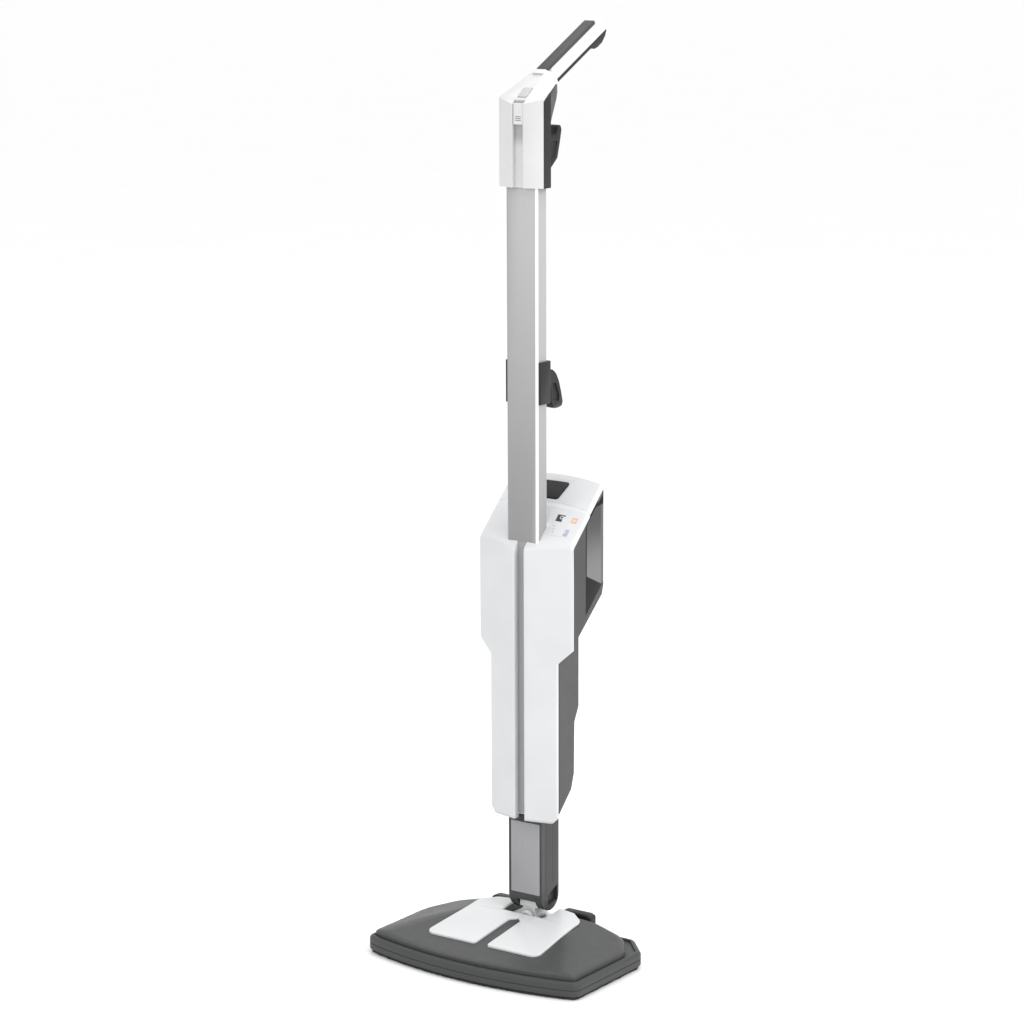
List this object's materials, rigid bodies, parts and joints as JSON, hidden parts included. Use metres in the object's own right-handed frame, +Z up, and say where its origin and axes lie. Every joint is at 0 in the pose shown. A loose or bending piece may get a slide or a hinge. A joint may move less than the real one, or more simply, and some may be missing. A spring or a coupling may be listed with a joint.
{
  "type": "steam mop",
  "caption": "Upright steam mop: wide floor head with cloth pad, jointed neck, boiler body with lift-out tank, flat pole with cord hooks and an angled grip.",
  "frame": {"origin": "on the floor, under the neck's pitch axis, in the middle of the head's width", "axes": "+Z up along the pole, -Y the way the mop's front faces, +X to the right as seen from the front"},
  "size_m": [0.33, 0.3226, 1.1971],
  "materials": {
    "white_shell": "satin moulded",
    "grey_shell": "fine-textured moulded",
    "dark_plastic": "fine-textured moulded",
    "soft_grip": "soft-touch",
    "pole_aluminium": "satin anodised, drawn lengthwise",
    "steel": "brushed",
    "smoked_tank": "smoked clear plastic",
    "microfibre": "looped microfibre",
    "brass": "turned",
    "circuit": "solder mask",
    "silicone": "moulded silicone",
    "label": "printed film",
    "button_grey": "satin moulded"
  },
  "bodies": {
    "head": {"cloth_pad": "microfibre", "head_base": "grey_shell", "steam_plate": "silicone", "steam_nozzle": "silicone", "head_cover": "grey_shell", "cover_plate_left": "white_shell", "cover_plate_right": "white_shell", "rear_bar_left": "dark_plastic", "rear_bar_right": "dark_plastic", "pivot_saddle": "white_shell", "roll_pin": "steel", "head_screw_1": "steel", "head_screw_2": "steel", "head_screw_3": "steel", "head_screw_4": "steel"},
    "knuckle_block": {"knuckle": "white_shell", "pitch_pin": "steel"},
    "main": {"neck_fork": "dark_plastic", "neck_panel": "pole_aluminium", "neck_tube": "silicone", "front_shell": "white_shell", "rear_shell": "grey_shell", "spine_strip": "pole_aluminium", "control_label": "label", "chassis": "dark_plastic", "boiler": "steel", "heater": "steel", "thermostat": "brass", "pump": "dark_plastic", "pump_mount": "silicone", "circuit_board": "circuit", "water_tube": "silicone", "steam_tube": "silicone", "valve_seat": "silicone", "cord_gland": "dark_plastic", "rear_screw_1": "steel", "rear_screw_2": "steel", "rear_screw_3": "steel", "rear_screw_4": "steel", "pole": "pole_aluminium", "hook_collar": "dark_plastic", "swivel_pin": "steel", "upper_cord_hook": "dark_plastic", "handle_front_shell": "white_shell", "handle_rear_shell": "dark_plastic", "grip_top_insert": "soft_grip", "grip_bottom_insert": "dark_plastic", "handle_switch": "dark_plastic", "handle_screw_1": "steel", "handle_screw_2": "steel"},
    "tank": {"water_tank": "smoked_tank", "tank_lid": "white_shell", "tank_cap": "dark_plastic", "tank_valve": "brass"},
    "tank_latch": {"tank_button": "dark_plastic"},
    "lower_hook": {"lower_cord_hook": "dark_plastic"},
    "slider": {"steam_slider": "white_shell"},
    "power": {"power_button": "button_grey"},
    "neck_release": {"neck_button": "dark_plastic"}
  },
  "joints": [
    {"name": "neck_roll", "type": "hinge", "parent": "head", "child": "knuckle_block", "pos_m": [0, 0, 0.045], "axis": [0, 1, 0], "range_deg": [-25, 25]},
    {"name": "neck_pitch", "type": "hinge", "parent": "knuckle_block", "child": "main", "pos_m": [0, -0.00165, 0.073], "axis": [-1, 0, 0], "range_deg": [0, 60]},
    {"name": "tank_lift", "type": "slide", "parent": "main", "child": "tank", "axis": [0, 0.7193, 0.6947], "range_m": [0, 0.09]},
    {"name": "tank_button_press", "type": "slide", "parent": "tank", "child": "tank_latch", "axis": [0, 0.6947, -0.7193], "range_m": [0, 0.0025], "stiffness_N_per_m": 400},
    {"name": "lower_hook_swivel", "type": "hinge", "parent": "main", "child": "lower_hook", "pos_m": [0, 0, 0.747], "axis": [0, 1, 0], "range_deg": [0, 180]},
    {"name": "steam_slider_slide", "type": "slide", "parent": "main", "child": "slider", "axis": [0, 0, -1], "range_m": [0, 0.026]},
    {"name": "power_button_press", "type": "slide", "parent": "main", "child": "power", "axis": [0, 0.603, -0.7978], "range_m": [0, 0.0012], "stiffness_N_per_m": 500},
    {"name": "neck_button_press", "type": "slide", "parent": "main", "child": "neck_release", "axis": [0, 1, 0], "range_m": [0, 0.0018], "stiffness_N_per_m": 500}
  ]
}
